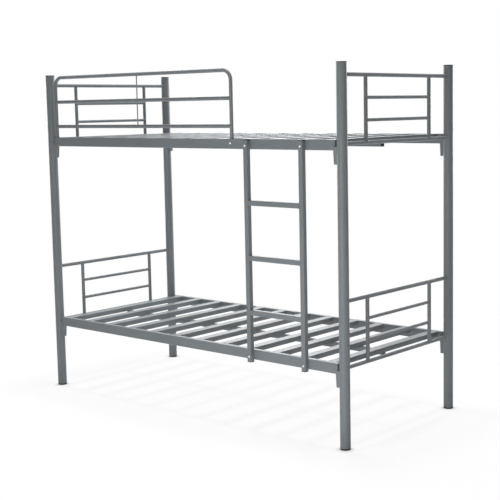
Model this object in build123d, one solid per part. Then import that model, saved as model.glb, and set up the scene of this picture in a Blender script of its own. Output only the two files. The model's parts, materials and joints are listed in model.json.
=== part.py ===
from build123d import *
import os

# Steel bunk bed with a bolted ladder and one guard rail.
# Millimetres, +Z up, +X along the bed, -Y towards the ladder side.
# The origin is on the floor, in the middle of the whole footprint.

# Posts
post_diameter = 50.0
post_wall = 1.2
post_spacing_x = 2080.0
post_spacing_y = 896.0
bed_height = 1790.0
foot_height = 7.0
foot_edge_radius = 3.0
cap_height = 4.0
cap_edge_radius = 1.5
post_plug_depth = 22.0
plug_insert_wall = 2.5

# Decks, measured to the top of the slats
lower_deck_height = 405.0
upper_deck_drop = 349.0
rail_height = 50.0
rail_width = 25.0
rail_wall = 1.2
rail_post_gap = 8.0
slat_count = 12
end_slat_inset = 83.0
slat_width = 50.0
slat_height = 25.0
slat_wall = 0.8
beam_size = 25.0
beam_wall = 1.0
beam_reach_under_end_slat = 12.0

# Wedge connectors between rails and posts
socket_reach = 18.0
socket_rise = 18.0
socket_depth = 64.0
socket_top_width = 32.0
socket_bottom_width = 20.0
socket_wall = 2.5
socket_bend_radius = 3.0
hook_plate_thickness = 4.0
hook_end_clearance = 4.0

# End panels
panel_tube_diameter = 19.0
panel_tube_wall = 1.2
panel_bar_diameter = 16.0
panel_bar_wall = 1.0
panel_bar_pitch = 104.0
panel_bar_count = 2
panel_bottom_drop = 20.0
spindle_offset = 266.0

# Guard rail on the upper deck
guard_tube_diameter = 19.0
guard_tube_wall = 1.2
guard_top_rise = 334.0
guard_bar_pitch = 136.5
guard_bar_count = 2
guard_corner_radius = 50.0
guard_ladder_gap = 118.0
guard_bolt_drop = 22.0
guard_rod_diameter = 6.0

# Ladder
ladder_tube_size = 25.0
ladder_tube_wall = 1.2
ladder_post_inset = 217.0
ladder_leg_spacing = 345.0
ladder_top_drop = 5.0
ladder_foot_drop = 11.0
top_rung_drop = 309.0
rung_count = 3
rung_pitch = 269.0
end_plug_height = 3.0
end_plug_depth = 14.0

# Bolts and nuts
bolt_diameter = 6.0
bolt_head_diameter = 10.5
bolt_head_height = 3.3
bolt_head_radius = 2.0
bolt_overrun = 2.0
nut_width = 10.0
nut_height = 5.0
nut_slat_gap = 2.5
insert_diameter = 9.0
insert_length = 8.0

# Fits
tube_inside_radius = 1.0
weld_gap = 0.1
insert_fit = 0.2
slide_fit = 0.3
bolt_hole_fit = 0.25
clear_gap = 1.0

ALONG_X = (1, 0, 0)
ALONG_Y = (0, 1, 0)
ALONG_Z = (0, 0, 1)

# Places worked out from the sizes above
post_radius = post_diameter / 2
guard_radius = guard_tube_diameter / 2
front_reach = rail_width / 2 + ladder_tube_size + bolt_head_height
footprint_shift = (front_reach - post_radius) / 2
front_y = footprint_shift - post_spacing_y / 2
rear_y = footprint_shift + post_spacing_y / 2
right_x = post_spacing_x / 2
left_x = -right_x
upper_deck_height = bed_height - upper_deck_drop
slat_pitch = (post_spacing_x - 2 * end_slat_inset) / (slat_count - 1)
rail_end_offset = post_radius + rail_post_gap
socket_face = post_radius + socket_reach
notch_height = socket_rise + 2 * clear_gap
notch_length = socket_face + clear_gap - rail_end_offset
bolt_hole_radius = bolt_diameter / 2 + bolt_hole_fit
ladder_right_leg_x = right_x - ladder_post_inset
ladder_left_leg_x = ladder_right_leg_x - ladder_leg_spacing
guard_left_leg_x = left_x + rail_end_offset + hook_plate_thickness + slide_fit + guard_radius
guard_right_leg_x = ladder_left_leg_x - guard_ladder_gap
guard_top_z = upper_deck_height + guard_top_rise
upper_rail_bottom = upper_deck_height - rail_height
lower_rail_bottom = lower_deck_height - rail_height
guard_leg_bottom = upper_rail_bottom + notch_height
ladder_y = front_y - rail_width / 2 - ladder_tube_size / 2
ladder_front = ladder_y - ladder_tube_size / 2
ladder_top = upper_deck_height - ladder_top_drop
ladder_bottom = lower_rail_bottom - ladder_foot_drop
ladder_bolt_drop = slat_height + nut_slat_gap + nut_width / 2
ladder_leg_centres = (ladder_left_leg_x, ladder_right_leg_x)
ladder_bolt_heights = (lower_deck_height - ladder_bolt_drop, upper_deck_height - ladder_bolt_drop)

posts = {
    "front_left": (left_x, front_y),
    "front_right": (right_x, front_y),
    "rear_left": (left_x, rear_y),
    "rear_right": (right_x, rear_y),
}
decks = {"lower": lower_deck_height, "upper": upper_deck_height}
rail_rows = {"front": front_y, "rear": rear_y}
panel_ends = {"left": left_x, "right": right_x}


def run(section, start, direction, length):
    """Extrude a section from a point along one of the three axes."""
    side = ALONG_Y if direction == ALONG_X else ALONG_X
    return extrude(Plane(start, x_dir=side, z_dir=direction) * section, amount=length)


def round_tube(diameter, wall):
    return Circle(diameter / 2) - Circle(diameter / 2 - wall)


def box_tube(width, height, wall):
    outer = RectangleRounded(width, height, tube_inside_radius + wall)
    return outer - RectangleRounded(width - 2 * wall, height - 2 * wall, tube_inside_radius)


def cope(diameter, start, direction, length):
    """The round space that a tube welded against this one is cut back from."""
    return run(Circle(diameter / 2 + weld_gap), start, direction, length)


def group(solids):
    return Compound(children=list(solids))


def save(node, shape):
    export_step(shape, f"parts/{node}.step")


def post(x, y):
    length = bed_height - foot_height - cap_height
    return run(round_tube(post_diameter, post_wall), (x, y, foot_height), ALONG_Z, length)


def round_plug(head_height, edge_radius):
    """A moulded plug: a head with a rounded rim, and a ring that goes up into the tube."""
    head = extrude(Circle(post_radius), amount=head_height)
    head = fillet(head.faces().sort_by(Axis.Z)[0].edges(), edge_radius)
    insert_radius = post_radius - post_wall - insert_fit
    ring = Circle(insert_radius) - Circle(insert_radius - plug_insert_wall)
    return head + Pos(0, 0, head_height) * extrude(ring, amount=post_plug_depth)


def square_plug(size, wall):
    """A moulded plug for a square tube, head outwards along -Z."""
    head = extrude(RectangleRounded(size, size, tube_inside_radius + wall), amount=end_plug_height)
    head = fillet(head.faces().sort_by(Axis.Z)[0].edges(), end_plug_height / 2)
    inside = size - 2 * (wall + insert_fit)
    ring = RectangleRounded(inside, inside, tube_inside_radius)
    hollow = inside - 2 * plug_insert_wall
    ring -= Rectangle(hollow, hollow)
    return head + Pos(0, 0, end_plug_height) * extrude(ring, amount=end_plug_depth)


def wedge_profile(inset, top, bottom):
    """The socket's tapered outline, drawn in from its sides, between two heights."""
    taper = (socket_top_width - socket_bottom_width) / 2 / (socket_rise + socket_depth)

    def half_width(height):
        return socket_top_width / 2 - inset - taper * (socket_rise - height)

    corners = [
        (-half_width(top), top),
        (half_width(top), top),
        (half_width(bottom), bottom),
        (-half_width(bottom), bottom),
    ]
    return make_face(Polyline(*corners, close=True))


def post_socket():
    """A tapered pocket folded from sheet, open at top and bottom, welded to the post.

    The post's axis is Z, the rail lies along +X and its underside is at Z = 0.
    """
    pocket = extrude(Plane.YZ * wedge_profile(0, socket_rise, -socket_depth), amount=socket_face)
    bends = pocket.faces().sort_by(Axis.X)[-1].edges().sort_by(Axis.Y)
    pocket = fillet([bends[0], bends[-1]], socket_bend_radius)
    space = wedge_profile(socket_wall, socket_rise + clear_gap, -socket_depth - clear_gap)
    pocket -= extrude(Plane.YZ * space, amount=socket_face - socket_wall)
    below = (0, 0, -socket_depth - clear_gap)
    return pocket - cope(post_diameter, below, ALONG_Z, socket_depth + socket_rise + 2 * clear_gap)


def rail_hook():
    """The wedge that closes a rail's end and drops into the post's pocket.

    It has the same axes as the pocket.
    """
    tongue_top = notch_height - clear_gap
    tongue_bottom = hook_end_clearance - socket_depth
    tongue_length = socket_face - socket_wall - slide_fit - rail_end_offset
    outline = wedge_profile(socket_wall + slide_fit, tongue_top, tongue_bottom)
    tongue = extrude(Plane.YZ.offset(rail_end_offset) * outline, amount=tongue_length)
    plug_top = rail_height - rail_wall - insert_fit
    plug_width = rail_width - 2 * (rail_wall + insert_fit)
    plug_face = Rectangle(plug_width, plug_top, align=(Align.CENTER, Align.MIN))
    plug = extrude(Plane.YZ.offset(rail_end_offset) * plug_face, amount=hook_plate_thickness)
    upper_edges = plug.faces().sort_by(Axis.Z)[-1].edges().filter_by(Axis.X)
    return tongue + fillet(upper_edges, tube_inside_radius)


def at_corners(shape):
    """One copy of a connector at every rail end: four posts on each deck."""
    copies = []
    for deck_height in decks.values():
        for x, y in posts.values():
            turn = 0 if x < 0 else 180
            copies.append(Pos(x, y, deck_height - rail_height) * Rot(0, 0, turn) * shape)
    return group(copies)


def side_rail(y, deck_height):
    length = post_spacing_x - 2 * rail_end_offset
    middle = deck_height - rail_height / 2
    start = (left_x + rail_end_offset, y, middle)
    rail = run(box_tube(rail_width, rail_height, rail_wall), start, ALONG_X, length)
    notch = Box(2 * notch_length, 2 * rail_width, 2 * notch_height)
    for end in (-1, 1):
        rail -= Pos(end * length / 2, y, deck_height - rail_height) * notch
    return rail


def front_rail(deck_height, ladder_bolt_height):
    """A side rail with the holes for the ladder's bolts and the guard rail's bolt.

    Both front rails are drilled alike, so on the lower one the guard rail's hole stays open.
    """
    rail = side_rail(front_y, deck_height)
    front_face = front_y - rail_width / 2
    bolt_hole = Circle(bolt_hole_radius)
    bolt_start = (guard_right_leg_x, front_face, deck_height - guard_bolt_drop)
    rail -= run(bolt_hole, bolt_start, ALONG_Y, rail_width / 2)
    for leg_x in ladder_leg_centres:
        rail -= run(bolt_hole, (leg_x, front_face, ladder_bolt_height), ALONG_Y, rail_width)
    return rail


def guarded_front_rail():
    """The upper front rail, with holes in its top for the guard rail's legs."""
    rail = front_rail(upper_deck_height, ladder_bolt_heights[1])
    leg_hole = Circle(guard_radius + slide_fit)
    rail_middle = upper_deck_height - rail_height / 2
    for leg_x in (guard_left_leg_x, guard_right_leg_x):
        rail -= run(leg_hole, (leg_x, front_y, rail_middle), ALONG_Z, rail_height)
    return rail


def slat(place, deck_height):
    x = (place - (slat_count - 1) / 2) * slat_pitch
    start = (x, front_y + rail_width / 2, deck_height - slat_height / 2)
    return run(box_tube(slat_width, slat_height, slat_wall), start, ALONG_Y, post_spacing_y - rail_width)


def beam_half_length():
    end_slat_inner_edge = (slat_count - 1) / 2 * slat_pitch - slat_width / 2
    return end_slat_inner_edge + beam_reach_under_end_slat


def centre_beam(deck_height):
    middle = deck_height - slat_height - beam_size / 2
    start = (-beam_half_length(), footprint_shift, middle)
    return run(box_tube(beam_size, beam_size, beam_wall), start, ALONG_X, 2 * beam_half_length())


def panel_tube(x, height):
    section = round_tube(panel_tube_diameter, panel_tube_wall)
    tube = run(section, (x, front_y, height), ALONG_Y, post_spacing_y)
    for y in rail_rows.values():
        tube -= cope(post_diameter, (x, y, height - panel_tube_diameter), ALONG_Z, 2 * panel_tube_diameter)
    return tube


def panel_spindle(x, y, bottom, top):
    spindle = run(round_tube(panel_tube_diameter, panel_tube_wall), (x, y, bottom), ALONG_Z, top - bottom)
    for height in (bottom, top):
        start = (x, y - panel_tube_diameter, height)
        spindle -= cope(panel_tube_diameter, start, ALONG_Y, 2 * panel_tube_diameter)
    return spindle


def panel_bar(x, near_y, far_y, height):
    bar = run(round_tube(panel_bar_diameter, panel_bar_wall), (x, near_y, height), ALONG_Y, far_y - near_y)
    for y in (near_y, far_y):
        start = (x, y, height - panel_bar_diameter)
        bar -= cope(panel_tube_diameter, start, ALONG_Z, 2 * panel_bar_diameter)
    return bar


def end_panel(x, deck_height):
    """Two cross tubes between the posts, two spindles and the bars between them."""
    bottom = deck_height - panel_bottom_drop
    top = bottom + (panel_bar_count + 1) * panel_bar_pitch
    spindle_rows = (footprint_shift - spindle_offset, footprint_shift + spindle_offset)
    bar_heights = [bottom + (place + 1) * panel_bar_pitch for place in range(panel_bar_count)]
    return {
        "tubes": [panel_tube(x, height) for height in (bottom, top)],
        "spindles": [panel_spindle(x, y, bottom, top) for y in spindle_rows],
        "bars": [panel_bar(x, *spindle_rows, height) for height in bar_heights],
    }


def guard_hoop():
    """One tube bent into both legs and the top of the guard rail."""
    path = FilletPolyline(
        (guard_left_leg_x, front_y, guard_leg_bottom),
        (guard_left_leg_x, front_y, guard_top_z),
        (guard_right_leg_x, front_y, guard_top_z),
        (guard_right_leg_x, front_y, guard_leg_bottom),
        radius=guard_corner_radius,
    )
    foot = Plane((guard_left_leg_x, front_y, guard_leg_bottom))
    hoop = sweep(foot * round_tube(guard_tube_diameter, guard_tube_wall), path=path)
    hole_start = (guard_right_leg_x, front_y - guard_tube_diameter, upper_deck_height - guard_bolt_drop)
    hole = run(Circle(insert_diameter / 2 + insert_fit), hole_start, ALONG_Y, guard_tube_diameter)
    return hoop - hole


def guard_bar(height):
    start = (guard_left_leg_x, front_y, height)
    length = guard_right_leg_x - guard_left_leg_x
    bar = run(round_tube(guard_tube_diameter, guard_tube_wall), start, ALONG_X, length)
    for leg_x in (guard_left_leg_x, guard_right_leg_x):
        below = (leg_x, front_y, height - guard_tube_diameter)
        bar -= cope(guard_tube_diameter, below, ALONG_Z, 2 * guard_tube_diameter)
    return bar


def guard_rod(bottom):
    """One length of the thin rod between two neighbouring tubes of the guard rail."""
    x = (guard_left_leg_x + guard_right_leg_x) / 2
    rod = run(Circle(guard_rod_diameter / 2), (x, front_y, bottom), ALONG_Z, guard_bar_pitch)
    for height in (bottom, bottom + guard_bar_pitch):
        beside = (x - guard_tube_diameter, front_y, height)
        rod -= cope(guard_tube_diameter, beside, ALONG_X, 2 * guard_tube_diameter)
    return rod


def ladder_leg(x):
    length = ladder_top - ladder_bottom - 2 * end_plug_height
    section = box_tube(ladder_tube_size, ladder_tube_size, ladder_tube_wall)
    leg = run(section, (x, ladder_y, ladder_bottom + end_plug_height), ALONG_Z, length)
    for height in ladder_bolt_heights:
        leg -= run(Circle(bolt_hole_radius), (x, ladder_front, height), ALONG_Y, ladder_tube_size)
    return leg


def ladder_rung(place):
    left_face = ladder_left_leg_x + ladder_tube_size / 2
    height = upper_deck_height - top_rung_drop - place * rung_pitch
    section = box_tube(ladder_tube_size, ladder_tube_size, ladder_tube_wall)
    return run(section, (left_face, ladder_y, height), ALONG_X, ladder_leg_spacing - ladder_tube_size)


def ladder_plugs():
    plug = square_plug(ladder_tube_size, ladder_tube_wall)
    copies = []
    for x in ladder_leg_centres:
        copies.append(Pos(x, ladder_y, ladder_bottom) * plug)
        copies.append(Pos(x, ladder_y, ladder_top) * Rot(180, 0, 0) * plug)
    return copies


def beam_plugs():
    plug = square_plug(beam_size, beam_wall)
    copies = []
    for deck_height in decks.values():
        height = deck_height - slat_height - beam_size / 2
        outer_end = beam_half_length() + end_plug_height
        copies.append(Pos(-outer_end, footprint_shift, height) * Rot(0, 90, 0) * plug)
        copies.append(Pos(outer_end, footprint_shift, height) * Rot(0, -90, 0) * plug)
    return copies


def bolt(x, head_y, height, grip):
    """A domed bolt pushed in along +Y, with its head against a face at head_y."""
    head = extrude(Circle(bolt_head_diameter / 2), amount=bolt_head_height)
    head = fillet(head.faces().sort_by(Axis.Z)[-1].edges(), bolt_head_radius)
    shank = Pos(0, 0, -grip) * extrude(Circle(bolt_diameter / 2), amount=grip)
    return Pos(x, head_y, height) * Rot(90, 0, 0) * (head + shank)


def nut(x, seat_y, height):
    ring = RegularPolygon(nut_width / 2, 6, major_radius=False)
    ring -= Circle(bolt_diameter / 2 + insert_fit)
    return run(ring, (x, seat_y, height), ALONG_Y, nut_height)


def guard_bolt():
    grip = rail_width / 2
    return bolt(guard_right_leg_x, front_y - grip, upper_deck_height - guard_bolt_drop, grip)


def guard_leg_insert():
    """The threaded ring set into the guard rail's bolted leg."""
    ring = Circle(insert_diameter / 2) - Circle(bolt_diameter / 2 + insert_fit)
    start = (guard_right_leg_x, front_y - guard_radius, upper_deck_height - guard_bolt_drop)
    return run(ring, start, ALONG_Y, insert_length)


def ladder_bolt_places():
    return [(x, height) for x in ladder_leg_centres for height in ladder_bolt_heights]


os.makedirs("parts", exist_ok=True)

for corner, (post_x, post_y) in posts.items():
    save(f"post_{corner}", post(post_x, post_y))

foot = round_plug(foot_height, foot_edge_radius)
save("post_feet", group(Pos(x, y, 0) * foot for x, y in posts.values()))
cap = Rot(180, 0, 0) * round_plug(cap_height, cap_edge_radius)
save("post_caps", group(Pos(x, y, bed_height) * cap for x, y in posts.values()))

save("post_sockets", at_corners(post_socket()))
save("rail_hooks", at_corners(rail_hook()))

for end, panel_x in panel_ends.items():
    for deck, deck_height in decks.items():
        for piece, solids in end_panel(panel_x, deck_height).items():
            save(f"{deck}_{end}_panel_{piece}", group(solids))

save("lower_front_rail", front_rail(lower_deck_height, ladder_bolt_heights[0]))
save("upper_front_rail", guarded_front_rail())
for deck, deck_height in decks.items():
    save(f"{deck}_rear_rail", side_rail(rear_y, deck_height))
    save(f"{deck}_centre_beam", centre_beam(deck_height))
    for place in range(slat_count):
        save(f"{deck}_slat_{place + 1:02d}", slat(place, deck_height))

save("guard_hoop", guard_hoop())
guard_heights = [guard_top_z - (place + 1) * guard_bar_pitch for place in range(guard_bar_count)]
save("guard_bars", group(guard_bar(height) for height in guard_heights))
save("guard_rod", group(guard_rod(height) for height in guard_heights))

for side, leg_x in zip(("left", "right"), ladder_leg_centres):
    save(f"ladder_{side}_leg", ladder_leg(leg_x))
save("ladder_rungs", group(ladder_rung(place) for place in range(rung_count)))
save("tube_end_plugs", group(ladder_plugs() + beam_plugs()))

ladder_grip = ladder_tube_size + rail_width + nut_height + bolt_overrun
ladder_bolts = [bolt(x, ladder_front, height, ladder_grip) for x, height in ladder_bolt_places()]
save("bolts", group(ladder_bolts + [guard_bolt()]))
rail_inner_face = front_y + rail_width / 2
ladder_nuts = [nut(x, rail_inner_face, height) for x, height in ladder_bolt_places()]
save("nuts", group(ladder_nuts + [guard_leg_insert()]))
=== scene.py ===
import json
import math

import bmesh
import bpy
from mathutils import Matrix, Vector


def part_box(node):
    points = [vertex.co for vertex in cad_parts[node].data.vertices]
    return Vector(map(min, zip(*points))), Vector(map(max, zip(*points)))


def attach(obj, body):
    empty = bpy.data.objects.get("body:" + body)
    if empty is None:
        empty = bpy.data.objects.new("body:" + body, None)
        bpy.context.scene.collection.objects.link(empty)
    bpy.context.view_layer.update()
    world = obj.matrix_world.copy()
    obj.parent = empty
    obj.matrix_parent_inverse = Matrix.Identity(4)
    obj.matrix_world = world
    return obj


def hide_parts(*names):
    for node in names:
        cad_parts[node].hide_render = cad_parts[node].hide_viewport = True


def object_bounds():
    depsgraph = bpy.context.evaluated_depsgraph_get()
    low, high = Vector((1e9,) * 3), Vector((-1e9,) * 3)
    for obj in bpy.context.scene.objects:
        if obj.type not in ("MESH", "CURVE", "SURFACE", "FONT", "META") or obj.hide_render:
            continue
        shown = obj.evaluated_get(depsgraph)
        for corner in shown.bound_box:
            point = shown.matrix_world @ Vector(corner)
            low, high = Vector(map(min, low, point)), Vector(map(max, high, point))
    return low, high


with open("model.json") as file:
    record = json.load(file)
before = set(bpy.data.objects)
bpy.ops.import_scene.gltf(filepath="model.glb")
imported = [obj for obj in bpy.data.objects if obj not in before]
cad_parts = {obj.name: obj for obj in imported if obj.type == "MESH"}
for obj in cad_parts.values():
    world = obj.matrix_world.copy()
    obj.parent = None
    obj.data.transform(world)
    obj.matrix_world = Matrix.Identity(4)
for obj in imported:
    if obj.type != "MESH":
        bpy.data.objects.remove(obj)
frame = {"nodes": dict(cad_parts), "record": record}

cad_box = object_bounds()
nodes = frame["nodes"]

X = Vector((1, 0, 0))
Y = Vector((0, 1, 0))
Z = Vector((0, 0, 1))

# The camera, in metres and radians: where it stands and how it is turned, with
# its focal length and optical centre in pixels of the square picture.
picture_size = 500
focal_length_px = 1111.7
optical_centre_px = (290.0, 239.0)
camera_place = Vector((4.101, -4.4476, 1.591))
camera_yaw = 0.7005
camera_pitch = 0.1183
camera_roll = -0.0167
sensor_width = 36.0

# Sizes and counts that the boxes of the nodes don't give, in metres
ladder_bolt_drop = 0.0325
guard_bolt_drop = 0.022
rung_count = 3
socket_rise = 0.018
socket_depth = 0.064
socket_top_half_width = 0.016
socket_bottom_half_width = 0.010

# Bolts, nuts and the threaded ring, in metres. A share is of the radius, height
# or width that its name or comment gives.
bolt_radius = 0.003
bolt_overrun = 0.002
bolt_head_radius = 0.00525
bolt_head_height = 0.0033
head_flat_share = 0.56      # of the head's radius, flat on top
head_rim_share = 0.22       # of the head's height, straight at the rim
head_dome_steps = 6
bolt_socket_width = 0.004
bolt_socket_depth = 0.0021
bolt_socket_middle_share = 0.2  # of the recess, filled by one flat face
edge_break = 0.0002
thread_pitch = 0.001
thread_depth = 0.0003
thread_rings_per_turn = 4
bore_clearance = 0.0002
nut_width = 0.010
nut_height = 0.005
nut_face_share = 0.51       # of the nut's width, the radius of its turned faces
nut_chamfer_share = 0.045   # of the nut's width, the height of its chamfer
insert_radius = 0.0045
insert_length = 0.008
insert_edge_break = 0.0003
lathe_sides = 36

# Weld beads, in metres. A share is of the bead's radius.
slat_bead_radius = 0.0016
tube_bead_radius = 0.0018
rod_bead_radius = 0.0009
socket_bead_radius = 0.0020
bead_ripple_length = 0.0032
bead_step = bead_ripple_length / 3
slat_bead_step = bead_ripple_length / 2
bead_thin_share = 0.86
bead_swell_share = 0.28
bead_end_share = 0.35
bead_sides = 6
saddle_points = 36
steep_slope = 0.9           # a bead that rises more than this counts as upright

# Colours of the finishes
paint_dark = (0.193, 0.215, 0.230)
paint_light = (0.222, 0.248, 0.266)
paint_rubbed = (0.46, 0.47, 0.48)
plastic_dark = (0.008, 0.008, 0.009)
plastic_greyed = (0.020, 0.020, 0.022)
zinc_dark = (0.66, 0.67, 0.69)
zinc_light = (0.86, 0.87, 0.88)
black = (0.0, 0.0, 0.0)
white = (1.0, 1.0, 1.0)

# Floor and world. A pair gives the two ends of a range.
floor_colour = (0.92, 0.92, 0.92)
floor_half_size = 30.0
floor_gap = 0.0005
shadow_distances = (1.1, 2.8)
glow_shares = (0.90, 1.0)
# Painted contact shade: within contact_reach of the bed, ambient occlusion dims the floor's glow
contact_reach = 0.03
contact_rays = 8
contact_openness = (0.4, 0.95)
painted_contact_shade_strengths = (0.3, 1.0)
world_strengths = (0.05, 1.0)


# Places read from the frame

def span(node):
    low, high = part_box(node)
    return low, high, (low + high) / 2


corners = ("front_left", "front_right", "rear_left", "rear_right")
decks = ("lower", "upper")
ends = ("left", "right")
post_axes = {corner: span("post_" + corner)[2] for corner in corners}
post_radius = (span("post_front_left")[1].x - span("post_front_left")[0].x) / 2
deck_tops = {deck: span(deck + "_slat_01")[1].z for deck in decks}
rail_bottoms = {deck: span(deck + "_front_rail")[0].z for deck in decks}
front_rail_low, front_rail_high, front_rail_mid = span("upper_front_rail")
slat_names = sorted(name for name in nodes if "_slat_" in name)
ladder_legs = [span("ladder_" + side + "_leg") for side in ends]
ladder_front = ladder_legs[0][0].y
guard_low, guard_high, guard_mid = span("guard_hoop")


# Mesh helpers

def add_piece(name, build, material):
    """A piece of the bed, with its mesh filled by a function that adds to a bmesh."""
    mesh = mesh_from(name, build)
    piece = bpy.data.objects.new(name, mesh)
    bpy.context.scene.collection.objects.link(piece)
    mesh.materials.append(material)
    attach(piece, "root")
    return piece


def mesh_from(name, build):
    """A smooth-shaded mesh filled by a function that adds to a bmesh."""
    mesh = bpy.data.meshes.new(name)
    work = bmesh.new()
    build(work)
    bmesh.ops.recalc_face_normals(work, faces=work.faces)
    for face in work.faces:
        face.smooth = True
    work.to_mesh(mesh)
    work.free()
    return mesh


def skin_rings(work, rings, closed_path=False):
    """Quads between neighbouring rings of points, with the ends filled if the path is open."""
    rows = [[work.verts.new(point) for point in ring] for ring in rings]
    count = len(rows[0])
    pairs = list(zip(rows, rows[1:]))
    if closed_path:
        pairs.append((rows[-1], rows[0]))
    for near, far in pairs:
        for i in range(count):
            j = (i + 1) % count
            work.faces.new((near[i], near[j], far[j], far[i]))
    if not closed_path:
        work.faces.new(rows[0])
        work.faces.new(rows[-1])


def ring_turns(count):
    return [2 * math.pi * k / count for k in range(count)]


def bead(work, points, radius, closed):
    """A weld bead: a thin tube along the points, swelling with each ripple of the weld."""
    rings = []
    travelled = 0.0
    count = len(points)
    for i, point in enumerate(points):
        before = points[i - 1] if closed or i else point
        after = points[(i + 1) % count] if closed or i < count - 1 else point
        along = (after - before).normalized()
        travelled += (point - before).length
        phase = travelled / bead_ripple_length % 1.0
        swell = radius * (bead_thin_share + bead_swell_share * phase)
        if not closed and i in (0, count - 1):
            swell *= bead_end_share
        side = along.orthogonal().normalized()
        if abs(along.z) < steep_slope:
            side = along.cross(Z).normalized()
        other = along.cross(side)
        ring = []
        for turn in ring_turns(bead_sides):
            ring.append(point + swell * (math.cos(turn) * side + math.sin(turn) * other))
        rings.append(ring)
    skin_rings(work, rings, closed)


def saddle(centre, tube_radius, main_radius, along, main, reach):
    """Points where a round tube along one axis meets a main tube along another.

    reach is +1 or -1: the side of the main tube that the round tube comes from.
    """
    across = along.cross(main)
    points = []
    for turn in ring_turns(saddle_points):
        sideways = tube_radius * math.cos(turn)
        height = tube_radius * math.sin(turn)
        depth = math.sqrt(max(main_radius ** 2 - sideways ** 2, 0.0))
        points.append(centre + sideways * across + height * main + reach * depth * along)
    return points


def straight(start, end, step):
    count = max(2, round((end - start).length / step))
    return [start.lerp(end, i / count) for i in range(count + 1)]


def path_through(stops, step):
    points = [stops[0]]
    for start, end in zip(stops, stops[1:]):
        points += straight(start, end, step)[1:]
    return points


# Material helpers

def new_material(name):
    material = bpy.data.materials.new(name)
    material.use_nodes = True
    return material, material.node_tree, material.node_tree.nodes["Principled BSDF"]


def opaque(colour):
    return (*colour, 1.0)


def feed(tree, socket, value):
    """Links a socket to another socket, or sets it to a plain value."""
    if isinstance(value, bpy.types.NodeSocket):
        tree.links.new(value, socket)
    else:
        socket.default_value = value


def add_node(tree, kind, settings=None, **sockets):
    """A node with its settings, and its named sockets fed."""
    made = tree.nodes.new(kind)
    for key, value in (settings or {}).items():
        setattr(made, key, value)
    for key, value in sockets.items():
        feed(tree, made.inputs[key.replace("_", " ")], value)
    return made


def combine(tree, kind, operation, *values):
    """The number that a math node gives for the values in its first sockets."""
    made = add_node(tree, kind, {"operation": operation})
    for socket, value in zip(made.inputs, values):
        feed(tree, socket, value)
    return made.outputs["Value"]


def map_range(tree, value, given, wanted, kind="LINEAR"):
    """A value taken from one range to another, and held at the ends."""
    made = add_node(tree, "ShaderNodeMapRange", {"interpolation_type": kind}, Value=value,
                    From_Min=given[0], From_Max=given[1], To_Min=wanted[0], To_Max=wanted[1])
    return made.outputs["Result"]


def noise(tree, scale, detail, roughness=0.5):
    place = add_node(tree, "ShaderNodeTexCoord").outputs["Object"]
    made = add_node(tree, "ShaderNodeTexNoise", Vector=place, Scale=scale, Detail=detail,
                    Roughness=roughness)
    return made.outputs["Fac"]


def ramp(tree, factor, places, colours):
    """A colour ramp between two places; a colour that is a single number is a grey."""
    made = add_node(tree, "ShaderNodeValToRGB", Fac=factor)
    for element, place, colour in zip(made.color_ramp.elements, places, colours):
        if not isinstance(colour, tuple):
            colour = (colour, colour, colour)
        element.position = place
        element.color = opaque(colour)
    return made.outputs["Color"]


def mix_colour(tree, factor, first, second):
    """A mix of two colours. A Mix node's colour sockets share their names, so they go by number."""
    made = add_node(tree, "ShaderNodeMix", {"data_type": "RGBA"})
    for index, value in ((0, factor), (6, first), (7, second)):
        if isinstance(value, tuple):
            value = opaque(value)
        feed(tree, made.inputs[index], value)
    return made.outputs[2]


def bump(tree, height, strength, distance):
    made = add_node(tree, "ShaderNodeBump", Height=height, Strength=strength, Distance=distance)
    return made.outputs["Normal"]


def edge_mask(tree, radius):
    """White along outer edges and corners, black on flat and gently curved faces."""
    rounded = add_node(tree, "ShaderNodeBevel", {"samples": 4}, Radius=radius).outputs["Normal"]
    true_normal = add_node(tree, "ShaderNodeNewGeometry").outputs["Normal"]
    likeness = combine(tree, "ShaderNodeVectorMath", "DOT_PRODUCT", rounded, true_normal)
    return ramp(tree, likeness, places=(0.80, 0.97), colours=(1.0, 0.0))


def white_background(tree):
    """1 where the camera, a reflection or a view through glass looks, and 0 for diffuse light."""
    path = add_node(tree, "ShaderNodeLightPath")
    seen = path.outputs["Is Camera Ray"]
    for other in ("Is Glossy Ray", "Is Transmission Ray"):
        seen = combine(tree, "ShaderNodeMath", "MAXIMUM", seen, path.outputs[other])
    return seen


# Finishes of the bed

def painted_steel():
    """Satin silver-grey powder coat with orange peel, faint clouding and rubbed edges."""
    material, tree, shader = new_material("grey_powder_coat")
    clouds = noise(tree, scale=2.2, detail=4.0, roughness=0.55)
    speckle = noise(tree, scale=900.0, detail=2.0)
    peel = noise(tree, scale=260.0, detail=2.0)
    scuffs = noise(tree, scale=38.0, detail=6.0, roughness=0.62)
    coat = ramp(tree, clouds, places=(0.30, 0.70), colours=(paint_dark, paint_light))
    speckles = ramp(tree, speckle, places=(0.35, 0.65), colours=(0.11, 0.30))
    coat = mix_colour(tree, factor=0.12, first=coat, second=speckles)
    wear = ramp(tree, scuffs, places=(0.50, 0.68), colours=(0.0, 0.55))
    worn_edges = mix_colour(tree, factor=edge_mask(tree, radius=0.0014), first=black, second=wear)
    coat = mix_colour(tree, factor=worn_edges, first=coat, second=paint_rubbed)
    roughness = ramp(tree, scuffs, places=(0.35, 0.70), colours=(0.30, 0.40))
    tree.links.new(coat, shader.inputs["Base Color"])
    tree.links.new(roughness, shader.inputs["Roughness"])
    tree.links.new(bump(tree, peel, strength=0.10, distance=0.0004), shader.inputs["Normal"])
    shader.inputs["Specular IOR Level"].default_value = 0.2
    return material


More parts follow.
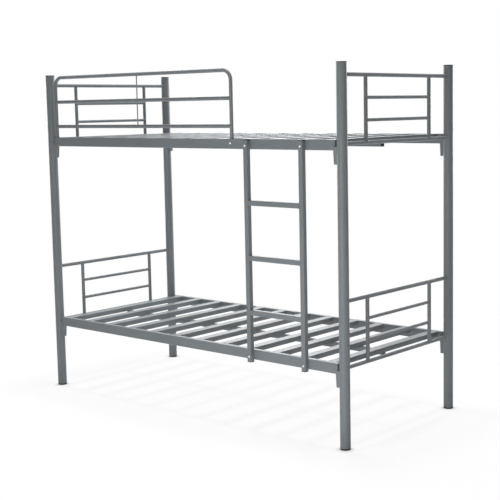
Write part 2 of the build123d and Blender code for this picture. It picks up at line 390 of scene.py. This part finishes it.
def black_plastic():
    """Moulded black plastic with a fine grain and greyed, handled patches."""
    material, tree, shader = new_material("black_moulded_plastic")
    grain = noise(tree, scale=1400.0, detail=2.0)
    patches = noise(tree, scale=60.0, detail=5.0, roughness=0.6)
    colour = ramp(tree, patches, places=(0.35, 0.72), colours=(plastic_dark, plastic_greyed))
    roughness = ramp(tree, patches, places=(0.3, 0.7), colours=(0.42, 0.62))
    tree.links.new(colour, shader.inputs["Base Color"])
    tree.links.new(roughness, shader.inputs["Roughness"])
    tree.links.new(bump(tree, grain, strength=0.25, distance=0.0003), shader.inputs["Normal"])
    shader.inputs["Specular IOR Level"].default_value = 0.2
    return material


def zinc_plate():
    """Bright zinc with a cloudy spangle and fine tool marks."""
    material, tree, shader = new_material("bright_zinc")
    cloud = noise(tree, scale=320.0, detail=4.0, roughness=0.6)
    marks = noise(tree, scale=2400.0, detail=2.0)
    colour = ramp(tree, cloud, places=(0.3, 0.7), colours=(zinc_dark, zinc_light))
    roughness = ramp(tree, cloud, places=(0.3, 0.7), colours=(0.18, 0.34))
    tree.links.new(colour, shader.inputs["Base Color"])
    tree.links.new(roughness, shader.inputs["Roughness"])
    tree.links.new(bump(tree, marks, strength=0.12, distance=0.0002), shader.inputs["Normal"])
    shader.inputs["Metallic"].default_value = 1.0
    return material


paint = painted_steel()
plastic = black_plastic()
zinc = zinc_plate()
finishes = {"grey_paint": paint, "black_plastic": plastic, "zinc_steel": zinc}
for part in frame["record"]["subparts"]:
    node_materials = nodes[part["node"]].data.materials
    node_materials.clear()
    node_materials.append(finishes[part["material_slot"]])


# Weld beads

def panel_beads(work):
    """Beads round the ends of the end panels' tubes, spindles and bars."""
    for deck in decks:
        for end in ends:
            stem = deck + "_" + end + "_panel_"
            tube_low, tube_high, tube_mid = span(stem + "tubes")
            spindle_low, spindle_high, _ = span(stem + "spindles")
            bar_low, bar_high, _ = span(stem + "bars")
            tube_radius = (tube_high.x - tube_low.x) / 2
            bar_radius = (bar_high.x - bar_low.x) / 2
            tube_heights = (tube_low.z + tube_radius, tube_high.z - tube_radius)
            bar_heights = (bar_low.z + bar_radius, bar_high.z - bar_radius)
            spindle_rows = ((spindle_low.y + tube_radius, 1), (spindle_high.y - tube_radius, -1))
            post_rows = ((post_axes["front_" + end].y, 1), (post_axes["rear_" + end].y, -1))
            for height in tube_heights:
                for y, reach in post_rows:
                    centre = Vector((tube_mid.x, y, height))
                    points = saddle(centre, tube_radius, post_radius, Y, Z, reach)
                    bead(work, points, tube_bead_radius, True)
            for y, reach in spindle_rows:
                for height, upward in zip(tube_heights, (1, -1)):
                    centre = Vector((tube_mid.x, y, height))
                    points = saddle(centre, tube_radius, tube_radius, Z, Y, upward)
                    bead(work, points, tube_bead_radius, True)
                for height in bar_heights:
                    centre = Vector((tube_mid.x, y, height))
                    points = saddle(centre, bar_radius, tube_radius, Y, Z, reach)
                    bead(work, points, tube_bead_radius, True)


def guard_beads(work):
    """Beads round the ends of the guard rail's bars, and where its rod meets them and the hoop."""
    bar_low, bar_high, _ = span("guard_bars")
    rod_low, rod_high, rod_mid = span("guard_rod")
    radius = (bar_high.y - bar_low.y) / 2
    rod_radius = (rod_high.x - rod_low.x) / 2
    low_bar = bar_low.z + radius
    high_bar = bar_high.z - radius
    hoop_top = guard_high.z - radius
    for height in (low_bar, high_bar):
        for x, reach in ((guard_low.x + radius, 1), (guard_high.x - radius, -1)):
            centre = Vector((x, guard_mid.y, height))
            bead(work, saddle(centre, radius, radius, X, Z, reach), tube_bead_radius, True)
    for height, reach in ((low_bar, 1), (high_bar, -1), (high_bar, 1), (hoop_top, -1)):
        centre = Vector((rod_mid.x, guard_mid.y, height))
        bead(work, saddle(centre, rod_radius, radius, Z, X, reach), rod_bead_radius, True)


def ladder_beads(work):
    """Beads round the ends of the ladder's rungs."""
    rung_low, rung_high, rung_mid = span("ladder_rungs")
    half = (rung_high.y - rung_low.y) / 2
    rise = (rung_high.z - rung_low.z - 2 * half) / (rung_count - 1)
    for place in range(rung_count):
        height = rung_low.z + half + place * rise
        for x in (rung_low.x, rung_high.x):
            stops = [Vector((x, rung_mid.y + a * half, height + b * half))
                     for a, b in ((1, 1), (1, -1), (-1, -1), (-1, 1), (1, 1))]
            bead(work, path_through(stops, bead_step)[:-1], slat_bead_radius, True)


def slat_beads(work):
    """The ends of the slats are welded to the rails along their sides and underside."""
    for name in slat_names:
        low, high, _ = span(name)
        top = high.z - slat_bead_radius
        for y in (low.y, high.y):
            stops = [Vector((low.x, y, top)), Vector((low.x, y, low.z)),
                     Vector((high.x, y, low.z)), Vector((high.x, y, top))]
            bead(work, path_through(stops, slat_bead_step), slat_bead_radius, False)


def beam_beads(work):
    """Short beads where each slat crosses the centre beam."""
    for name in slat_names:
        low, high, _ = span(name)
        beam_low, beam_high, _ = span(name.split("_")[0] + "_centre_beam")
        start = max(low.x, beam_low.x)
        end = min(high.x, beam_high.x)
        for y in (beam_low.y, beam_high.y):
            points = straight(Vector((start, y, low.z)), Vector((end, y, low.z)), bead_step)
            bead(work, points, slat_bead_radius, False)


def socket_beads(work):
    """Upright beads down both sides of each wedge pocket."""
    slope = (socket_top_half_width - socket_bottom_half_width) / (socket_rise + socket_depth)
    heights = straight(-socket_depth * Z, socket_rise * Z, bead_step)
    for axis in post_axes.values():
        inward = -math.copysign(1, axis.x)
        for bottom in rail_bottoms.values():
            for side in (-1, 1):
                points = []
                for spot in heights:
                    y = side * (socket_top_half_width - slope * (socket_rise - spot.z))
                    x = inward * math.sqrt(post_radius ** 2 - y ** 2)
                    points.append(Vector((axis.x + x, axis.y + y, bottom + spot.z)))
                bead(work, points, socket_bead_radius, False)


for name, build in (
    ("panel_weld_beads", panel_beads),
    ("guard_weld_beads", guard_beads),
    ("ladder_weld_beads", ladder_beads),
    ("slat_weld_beads", slat_beads),
    ("beam_weld_beads", beam_beads),
    ("socket_weld_beads", socket_beads),
):
    add_piece(name, build, paint)


# Bolts, nuts and the guard rail's threaded ring. Each is turned from a profile:
# a list of rings, with a function that gives the radius by angle, and a place.

def circle(radius):
    return lambda turn: radius


def hexagon(width, outset=0.0, largest=math.inf):
    """Radius by angle of a hexagon with flats facing up and down, at most as large as given."""
    sector = math.pi / 3

    def radius_at(turn):
        from_flat = (turn + sector / 2) % sector - sector / 2
        return min(width / 2 / math.cos(from_flat) + outset, largest)

    return radius_at


def thread(along):
    """Radius of the bolt's thread by angle, at a place along the bolt."""
    def radius_at(turn):
        wave = (along / thread_pitch - turn / (2 * math.pi)) % 1.0
        return bolt_radius - thread_depth * abs(2 * wave - 1)

    return radius_at


def lathe(work, place, profile):
    """The rings of a profile, skinned round an axis along Y."""
    rings = []
    for radius_at, along in profile:
        ring = []
        for turn in ring_turns(lathe_sides):
            radius = radius_at(turn)
            ring.append(place + Vector((radius * math.sin(turn), along, radius * math.cos(turn))))
        rings.append(ring)
    skin_rings(work, rings)


def button_head():
    """Rings of a domed head with a hexagon recess, from the floor of the recess outwards."""
    recess_floor = bolt_socket_depth - bolt_head_height
    recess = hexagon(bolt_socket_width)
    profile = [
        (hexagon(bolt_socket_width * bolt_socket_middle_share), recess_floor),
        (recess, recess_floor),
        (recess, edge_break - bolt_head_height),
        (hexagon(bolt_socket_width, outset=edge_break), -bolt_head_height),
        (circle(bolt_head_radius * head_flat_share), -bolt_head_height),
    ]
    for step in range(1, head_dome_steps + 1):
        swing = math.pi / 2 * step / head_dome_steps
        radius_share = head_flat_share + (1 - head_flat_share) * math.sin(swing)
        height_share = head_rim_share + (1 - head_rim_share) * math.cos(swing)
        profile.append((circle(bolt_head_radius * radius_share), -bolt_head_height * height_share))
    profile.append((circle(bolt_head_radius), -edge_break))
    profile.append((circle(bolt_head_radius - edge_break), 0.0))
    profile.append((circle(bolt_radius), 0.0))
    return profile


def bolt(work, place, grip, threaded):
    """A bolt pushed in along +Y, its head against the face at place."""
    profile = button_head()
    start = grip - threaded
    profile.append((circle(bolt_radius), start))
    rings = round(threaded / (thread_pitch / thread_rings_per_turn))
    for step in range(1, rings):
        along = start + threaded * step / rings
        profile.append((thread(along), along))
    profile.append((circle(bolt_radius - 2 * thread_depth), grip))
    lathe(work, place, profile)


def nut(work, place):
    """A hexagon nut with both faces turned to a chamfer, seated on the face at place."""
    bore = circle(bolt_radius + bore_clearance)
    sides = hexagon(nut_width)
    turned_face = hexagon(nut_width, largest=nut_width * nut_face_share)
    chamfer = nut_width * nut_chamfer_share
    profile = [
        (bore, 0.0),
        (turned_face, 0.0),
        (sides, chamfer),
        (sides, nut_height - chamfer),
        (turned_face, nut_height),
        (bore, nut_height),
    ]
    lathe(work, place, profile)


def threaded_ring(work, place, start):
    """The ring in the guard rail's leg, from start to its full length behind place."""
    bore = circle(bolt_radius + bore_clearance)
    rim = circle(insert_radius)
    profile = [
        (bore, start),
        (circle(insert_radius - insert_edge_break), start),
        (rim, start + insert_edge_break),
        (rim, start + insert_length),
        (bore, start + insert_length),
    ]
    lathe(work, place, profile)


ladder_bolt_places = [(leg[2].x, deck_tops[deck] - ladder_bolt_drop)
                      for leg in ladder_legs for deck in decks]
guard_leg_x = guard_high.x - (front_rail_mid.y - guard_low.y)
guard_bolt_place = Vector((guard_leg_x, front_rail_low.y, deck_tops["upper"] - guard_bolt_drop))


def all_bolts(work):
    grip = front_rail_high.y - ladder_front + nut_height + bolt_overrun
    for x, z in ladder_bolt_places:
        bolt(work, Vector((x, ladder_front, z)), grip, nut_height + 2 * bolt_overrun)
    guard_grip = front_rail_mid.y - front_rail_low.y
    bolt(work, guard_bolt_place, guard_grip, insert_length)


def all_nuts(work):
    for x, z in ladder_bolt_places:
        nut(work, Vector((x, front_rail_high.y, z)))
    threaded_ring(work, guard_bolt_place, guard_low.y - guard_bolt_place.y)


bolts = add_piece("detailed_bolts", all_bolts, zinc)
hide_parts("bolts")
nuts = add_piece("detailed_nuts", all_nuts, zinc)
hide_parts("nuts")


# Floor, light and camera

def studio_floor():
    """Shows white to the camera and in gloss, keeps a faint shadow, and has painted shade dimming
    its glow at contact.
    """
    material, tree, shader = new_material("pale_floor")
    tree.nodes.remove(shader)
    matt = add_node(tree, "ShaderNodeBsdfDiffuse", Color=opaque(floor_colour))
    painted_shade_occlusion = add_node(tree, "ShaderNodeAmbientOcclusion", {"samples": contact_rays},
                       Distance=contact_reach)
    # Painted contact shade: the glow's strength falls where the ambient occlusion finds the bed
    # close by
    strength = map_range(tree, painted_shade_occlusion.outputs["AO"], contact_openness, painted_contact_shade_strengths)
    glow = add_node(tree, "ShaderNodeEmission", Color=opaque(white), Strength=strength)
    place = add_node(tree, "ShaderNodeTexCoord").outputs["Object"]
    distance = combine(tree, "ShaderNodeVectorMath", "LENGTH", place)
    glow_share = map_range(tree, distance, shadow_distances, glow_shares, "SMOOTHSTEP")
    share = combine(tree, "ShaderNodeMath", "MULTIPLY", white_background(tree), glow_share)
    mixed = tree.nodes.new("ShaderNodeMixShader")
    for socket, value in zip(mixed.inputs, (share, matt.outputs["BSDF"], glow.outputs["Emission"])):
        tree.links.new(value, socket)
    tree.links.new(mixed.outputs["Shader"], tree.nodes["Material Output"].inputs["Surface"])
    return material


def floor_square(work):
    bmesh.ops.create_grid(work, x_segments=1, y_segments=1, size=floor_half_size)


def make_floor():
    mesh = mesh_from("studio_floor", floor_square)
    floor = bpy.data.objects.new("studio_floor", mesh)
    bpy.context.scene.collection.objects.link(floor)
    floor.location.z = cad_box[0].z - floor_gap
    mesh.materials.append(studio_floor())


def make_world():
    """White where the camera or a reflection looks, and a soft grey fill for diffuse light."""
    world = bpy.data.worlds.new("studio")
    bpy.context.scene.world = world
    world.use_nodes = True
    tree = world.node_tree
    background = tree.nodes["Background"]
    background.inputs["Color"].default_value = opaque(white)
    strength = map_range(tree, white_background(tree), (0.0, 1.0), world_strengths)
    tree.links.new(strength, background.inputs["Strength"])


def make_lamp(name, place, target, size, power):
    """A round softbox of this diameter in metres and power in watts, turned to its target."""
    data = bpy.data.lights.new(name, "AREA")
    data.shape = "DISK"
    data.size = size
    data.energy = power
    lamp = bpy.data.objects.new(name, data)
    lamp.location = place
    lamp.rotation_euler = (Vector(target) - Vector(place)).to_track_quat("-Z", "Y").to_euler()
    bpy.context.scene.collection.objects.link(lamp)


def make_camera():
    data = bpy.data.cameras.new("camera")
    data.sensor_width = sensor_width
    data.lens = focal_length_px / picture_size * sensor_width
    data.shift_x = 0.5 - optical_centre_px[0] / picture_size
    data.shift_y = optical_centre_px[1] / picture_size - 0.5
    back = Vector((math.sin(camera_yaw) * math.cos(camera_pitch),
                   -math.cos(camera_yaw) * math.cos(camera_pitch), math.sin(camera_pitch)))
    right = Vector((math.cos(camera_yaw), math.sin(camera_yaw), 0.0))
    up = back.cross(right)
    rolled_right = right * math.cos(camera_roll) + up * math.sin(camera_roll)
    rolled_up = up * math.cos(camera_roll) - right * math.sin(camera_roll)
    turn = Matrix((rolled_right, rolled_up, back)).transposed()
    camera = bpy.data.objects.new("camera", data)
    camera.matrix_world = Matrix.Translation(camera_place) @ turn.to_4x4()
    bpy.context.scene.collection.objects.link(camera)
    bpy.context.scene.camera = camera


make_floor()
make_world()
make_lamp("key_softbox", place=(1.5, -3.1, 0.6), target=(0.7, 0.0, 0.5), size=1.8, power=45.0)
make_lamp("overhead_softbox", place=(-0.2, 0.2, 7.5), target=(0.0, 0.0, 0.0), size=1.2, power=430.0)
make_lamp("back_softbox", place=(-4.2, 5.0, 3.6), target=(0.0, 0.0, 1.2), size=3.0, power=100.0)
make_lamp("rim_softbox", place=(0.8, 5.5, 2.2), target=(0.0, 0.0, 0.9), size=3.0, power=150.0)
make_lamp("left_softbox", place=(-5.2, 0.8, 1.7), target=(0.0, 0.0, 0.9), size=3.0, power=90.0)
make_camera()
bpy.context.scene.view_settings.view_transform = "Standard"
